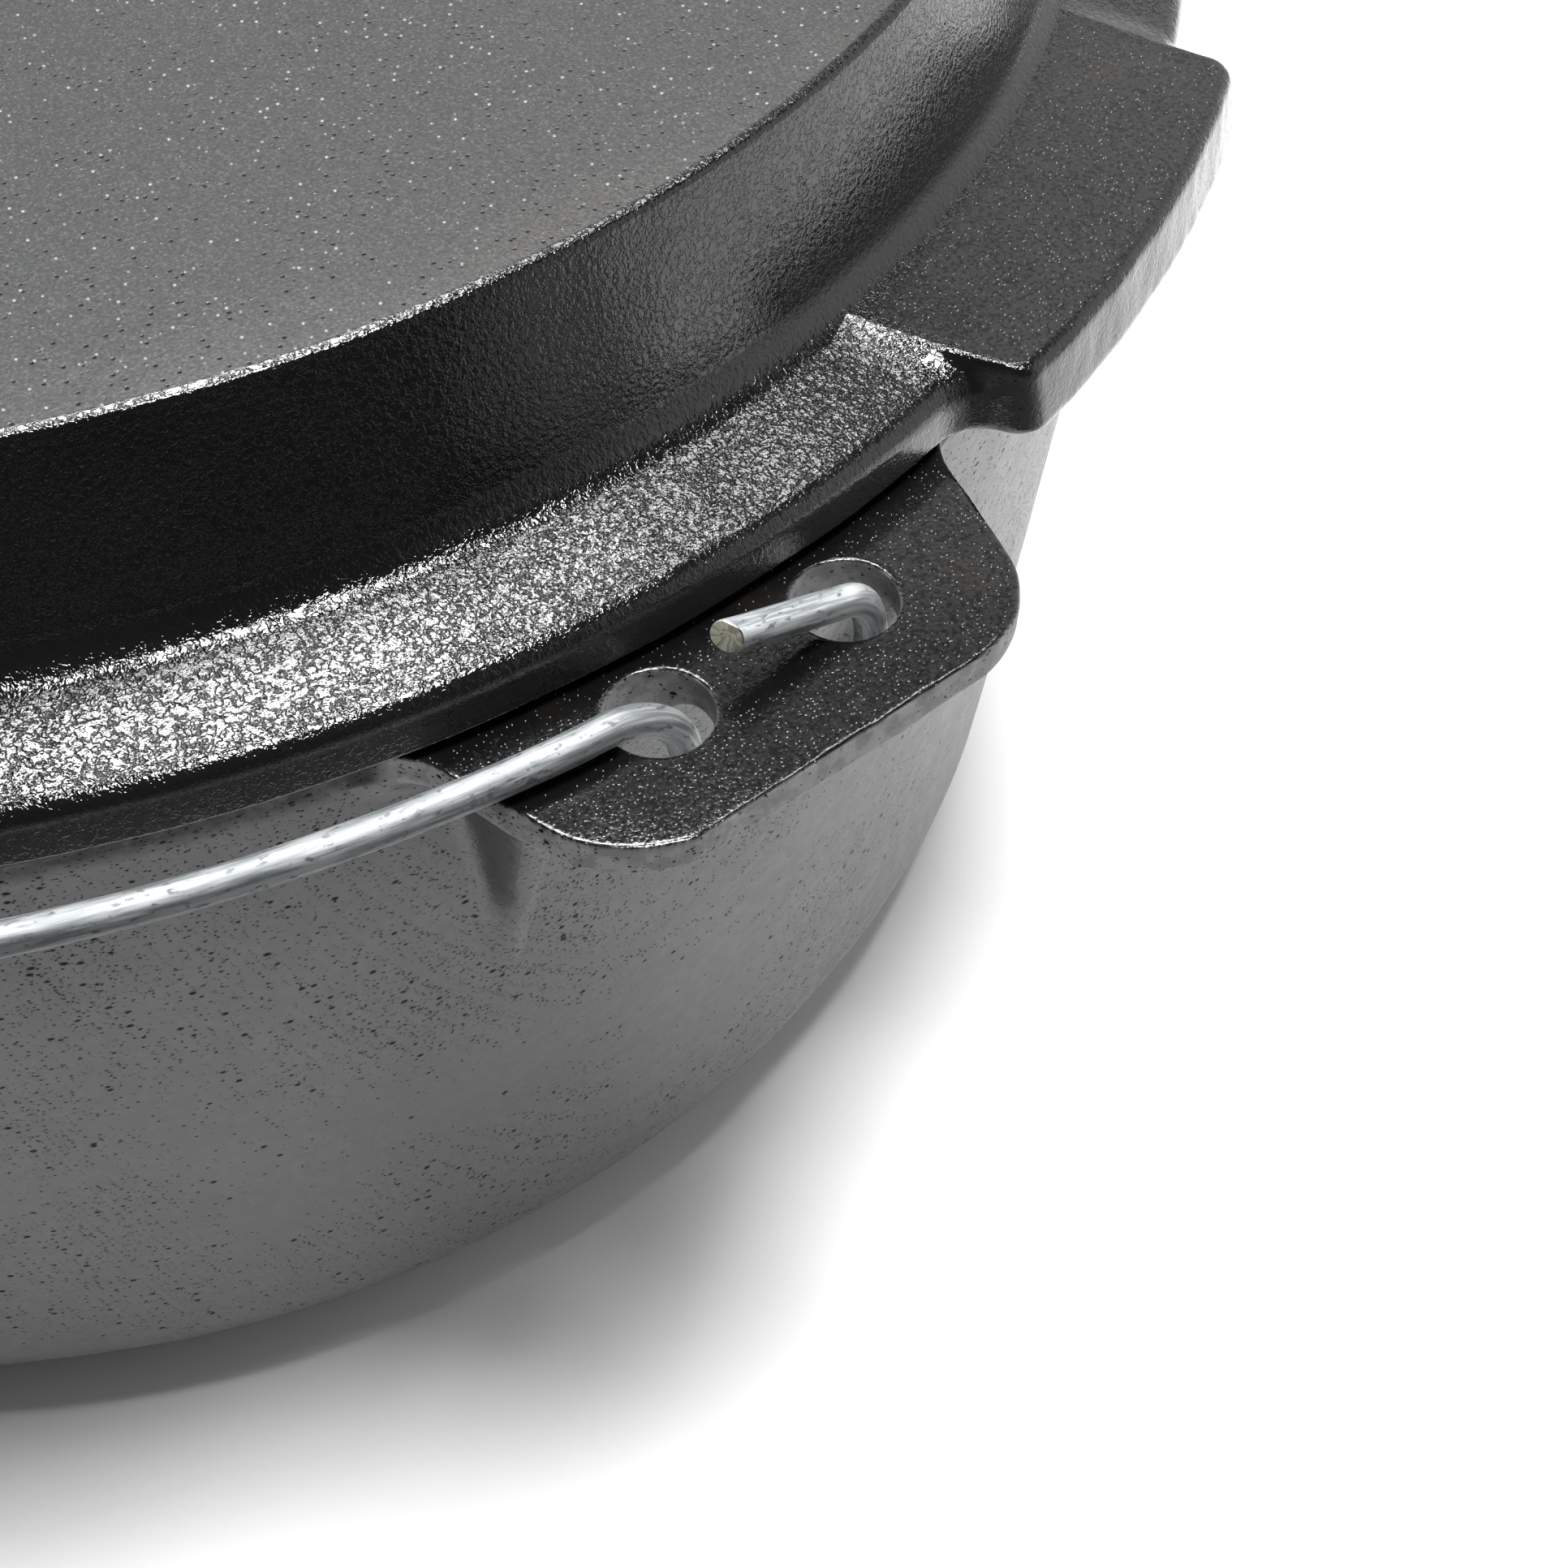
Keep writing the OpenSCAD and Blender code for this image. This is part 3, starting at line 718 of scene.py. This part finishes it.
def ear_zone(v, nor):
    u, w, z = v.T
    top = step(nor[:, 2], 0.55, 0.85)
    hole = np.minimum(np.abs(np.hypot(u - HOLE_U, w - HOLE_W) - HOLE_R),
                      np.abs(np.hypot(u - HOLE_U, w + HOLE_W) - HOLE_R))
    bore = 1 - step(hole, 0.2, 0.6)
    brim = step(z, EAR_LOW - 0.6, EAR_LOW + 0.4)
    # painted shade: the block's end faces get little of the grey side skin, so they stay dark
    # as faces turned from the light
    end = (step(np.abs(w), 17.0, 21.0) * step(np.abs(nor[:, 1]), 0.35, 0.75)
           * (1 - step(z, EAR_LOW - 3, EAR_LOW)))
    on_wall = 1 - step(np.hypot(u, w) - wall_r(z), 0.2, 0.9)
    return {"top": top, "side": (1 - top) * (1 - 0.85 * end),
            "crowd": np.full(len(v), 0.45), "raw": np.maximum(bore, brim) * (1 - top),
            "painted_lid_shadow": painted_lid_shadow(z) * on_wall}


def lid_zone(v, nor):
    nz = nor[:, 2]
    r = np.hypot(v[:, 0], v[:, 1])
    z = v[:, 2]
    disc = (1 - step(r, TOP_R - 1.25, TOP_R - 0.85)) * (z > LID_TOP - 1)
    under = (1 - step(nz, -0.3, 0.2)) * (z < 151) * (r < FLANGE_R - 3)
    face = (1 - step(nz, 0.2, 0.55)) * (r > FLANGE_R - 1.5) * (z > POT_H + FLANGE_GAP)
    zero = np.zeros(len(v))
    return {"top": zero, "flat": step(nz, 0.8, 0.95), "disc": disc,
            "rim": step(r, TOP_R - 9.0, TOP_R - 4.0) * disc,
            "side": np.maximum(under * 0.4, 0.25 * face),
            "crowd": np.full(len(v), 0.7), "raw": zero}


def tab_zone(v, nor):
    nz = nor[:, 2]
    r = np.hypot(v[:, 0], v[:, 1])
    top = (step(nz, 0.8, 0.97) * step(r, 137.5, 140.5)
           * (1 - step(np.abs(v[:, 1]), 26.5, 28.5)))
    side = (1 - step(nz, 0.2, 0.55)) * (r > FLANGE_R - 1.5)
    zero = np.zeros(len(v))
    return {"top": top, "flat": step(nz, 0.8, 0.95), "side": 0.25 * side,
            "disc": zero, "rim": zero, "crowd": np.full(len(v), 0.6),
            "raw": 0.1 * side * step(r, FLANGE_R + 1.0, FLANGE_R + 3.0)}


# The pieces
pot_mat = iron("pot_cast_iron", ("top", "side"))
lid_mat = iron("lid_cast_iron", ("top", "disc", "side"))
bail_mat = zinc()

pot_line = round_line([
    (0, 0, 0), (wall_r(0), 0, FOOT_ROUND),
    (RIM_R, POT_H, 0.7), (RIM_R - WALL_IN, POT_H, 1.0),
    (wall_r(FLOOR_T) - WALL_IN, FLOOR_T, FLOOR_ROUND), (0, FLOOR_T, 0)])
piece("pot_body", *lathe(pot_line, at_ears), "pot", "pot", "pot_iron", pot_mat, pot_zone)

in_top = LID_TOP - LID_T
in_r = TOP_R + LID_T * LID_LEAN - LID_T / math.cos(math.radians(LID_DEG))
foot = in_r + (LID_TOP - LID_T - POT_H) * LID_LEAN
lip_low = POT_H - LIP_H
mouth = wall_r(lip_low) - WALL_IN - LIP_GAP
lid_line = round_line([
    (0, in_top, 0), (in_r, in_top, 8.0), (foot, POT_H, 2.0),
    (mouth - LIP_T, POT_H, 1.5), (mouth - LIP_T, lip_low, 1.0),
    (mouth, lip_low, 1.0), (mouth, POT_H, 0.3), (mouth + 2.6, POT_H + 0.02, 1.0),
    (FLANGE_R - 2.4, POT_H + 0.2, 0.5),
    (FLANGE_R + FLANGE_OUT, POT_H + FLANGE_GAP, 0.45),
    (FLANGE_R - 0.2, FLANGE_TOP, FLANGE_ROUND), (COVE_R, COVE_Z, COVE_ROUND),
    (TOP_R, LID_TOP - 0.26, 0.8), (TOP_R - 1.1, LID_TOP, 1.2), (0, LID_TOP, 0)])
piece("lid_body", *lathe(lid_line, at_tabs), "lid", "lid", "lid_iron", lid_mat, lid_zone)

ear = skin(ear_field, (134, -42, 66), (173.6, 42, 127.6))
for name, turn in (("front", 0.0), ("back", math.pi)):
    piece("pot_ear_" + name, *ear, "pot", "pot", "pot_iron", pot_mat, ear_zone,
          sharp=60, turn=turn)
for name, (turn, reach, half, lean) in TABS.items():
    tab = skin(lambda u, w, z: tab_field(u, w, z, reach, half, lean),
               (132, -42, 124.5), (161.5, 42, 136.0))
    piece("lid_tab_" + name, *tab, "lid", "lid", "lid_iron", lid_mat, tab_zone,
          sharp=60, turn=math.radians(turn))

v, faces, marks = sweep(bail_path(), WIRE / 2)
piece("bail_wire", v, faces, "bail", "bail", "bail_wire", bail_mat, marks, sharp=50)


# Floor, and cards on it, dark on the left and light behind, that only reflections see
def sheet(name, pts, tone, shine=0.0):
    me = bpy.data.meshes.new(name)
    me.from_pydata(pts, [], [tuple(range(len(pts)))])
    o = bpy.data.objects.new(name, me)
    bpy.context.scene.collection.objects.link(o)
    mat = bpy.data.materials.new(name + "_paper")
    mat.use_nodes = True
    b = mat.node_tree.nodes["Principled BSDF"]
    b.inputs["Base Color"].default_value = (tone, tone, tone, 1)
    b.inputs["Roughness"].default_value = 0.9
    b.inputs["Specular IOR Level"].default_value = 0.1
    b.inputs["Emission Color"].default_value = (1, 1, 1, 1)
    b.inputs["Emission Strength"].default_value = shine
    me.materials.append(mat)
    return o


def circle(radius, z, angles):
    return [(radius * math.cos(a), radius * math.sin(a), z) for a in angles]


FLOOR = 6
CARD_IN, CARD_OUT, CARD_Z = 0.225, 1.6, 0.003
BACKDROP_R, BACKDROP_Z = 40, 0.0015
FADE_IN, FADE_OUT = 0.55, 1.5

sheet("floor", [(-FLOOR, -FLOOR, 0), (FLOOR, -FLOOR, 0), (FLOOR, FLOOR, 0), (-FLOOR, FLOOR, 0)],
      0.9)
for name, a0, a1, tone, shine in (("card_dark", -170, 12, 0.03, 0.0),
                                  ("card_mid", 12, 27, 0.3, 0.0),
                                  ("card_light", 27, 112, 0.9, 0.22)):
    arc = [math.radians(a) for a in np.linspace(a0, a1, 2 + (a1 - a0) // 6)]
    card = sheet(name, circle(CARD_IN, CARD_Z, arc) + circle(CARD_OUT, CARD_Z, arc[::-1]),
                 tone, shine)
    card.visible_camera = False
    card.visible_diffuse = False
    card.visible_shadow = False
    card.visible_transmission = False

# White that takes over from the far floor, for the camera alone
ring = [math.radians(a) for a in range(0, 360, 6)]
far = sheet("backdrop", circle(BACKDROP_R, BACKDROP_Z, ring), 0.0, 1.0)
far.visible_diffuse = False
far.visible_glossy = False
far.visible_shadow = False
far.visible_transmission = False
paper = Tree(far.data.materials[0])
away = paper.vector("LENGTH", paper.coord, out="Value")
paper.link(paper.ramp(away, FADE_IN, FADE_OUT),
           paper.t.nodes["Principled BSDF"].inputs["Alpha"])


# Softboxes, placed by azimuth, elevation and distance from a point on the lid
def area(name, az, el, d, size, radiance):
    lamp = bpy.data.lights.new(name, "AREA")
    lamp.shape = "RECTANGLE"
    lamp.size, lamp.size_y = size
    lamp.energy = radiance * math.pi * size[0] * size[1]
    a, e = math.radians(az), math.radians(el)
    target = Vector((0.08, 0, 0.1))
    way = Vector((math.cos(a) * math.cos(e), math.sin(a) * math.cos(e), math.sin(e)))
    o = bpy.data.objects.new(name, lamp)
    o.location = target + d * way
    o.rotation_euler = (target - o.location).to_track_quat("-Z", "Y").to_euler()
    o.visible_camera = False
    bpy.context.scene.collection.objects.link(o)


area("softbox_back", 159, 67, 1.47, (0.66, 0.31), 34.0)
area("softbox_side", 116, 59, 1.5, (0.25, 0.2), 18.0)
area("softbox_top", 38, 82, 1.6, (0.5, 0.5), 57.0)

# Dim room with one bright wall behind, and white where the camera looks past the floor
WALL_AZ, WALL_GLOW, ROOM_GLOW = math.radians(110), 1.22, 0.08
world = bpy.data.worlds.new("studio")
bpy.context.scene.world = world
sky = Tree(world, "Generated")
split = sky.t.nodes.new("ShaderNodeSeparateXYZ")
sky.link(sky.coord, split.inputs[0])
toward = sky.vector("DOT_PRODUCT", sky.coord,
                    (math.cos(WALL_AZ), math.sin(WALL_AZ), 0.0), "Value")
wall = sky.mul(sky.ramp(split.outputs[2], 0.66, 0.78, 1.0, 0.0),
               sky.ramp(toward, -0.2, 0.45, 0.0, 1.0))
glow = sky.math("MULTIPLY_ADD", wall, WALL_GLOW, ROOM_GLOW)
seen = sky.t.nodes.new("ShaderNodeLightPath").outputs["Is Camera Ray"]
plain = sky.math("MULTIPLY_ADD", seen, sky.math("SUBTRACT", 1.0, glow), glow)
background = sky.t.nodes["Background"]
background.inputs["Color"].default_value = (1, 1, 1, 1)
sky.link(plain, background.inputs["Strength"])

# Camera at the photograph's place
cam = bpy.data.cameras.new("camera")
cam.sensor_width = 36.0
cam.sensor_fit = "HORIZONTAL"
cam.lens = 59.627
cam.clip_start = 0.01
co = bpy.data.objects.new("camera", cam)
right = Vector((0.643385, 0.76549, 0.008974))
up = Vector((-0.590471, 0.488754, 0.642233))
back = Vector((0.487237, -0.418502, 0.766457))
place = Vector((0.28101, -0.102601, 0.299088))
co.matrix_world = Matrix([(right[i], up[i], back[i], place[i]) for i in range(3)]
                         + [(0, 0, 0, 1)])
bpy.context.scene.collection.objects.link(co)
bpy.context.scene.camera = co
bpy.context.scene.view_settings.view_transform = "Standard"
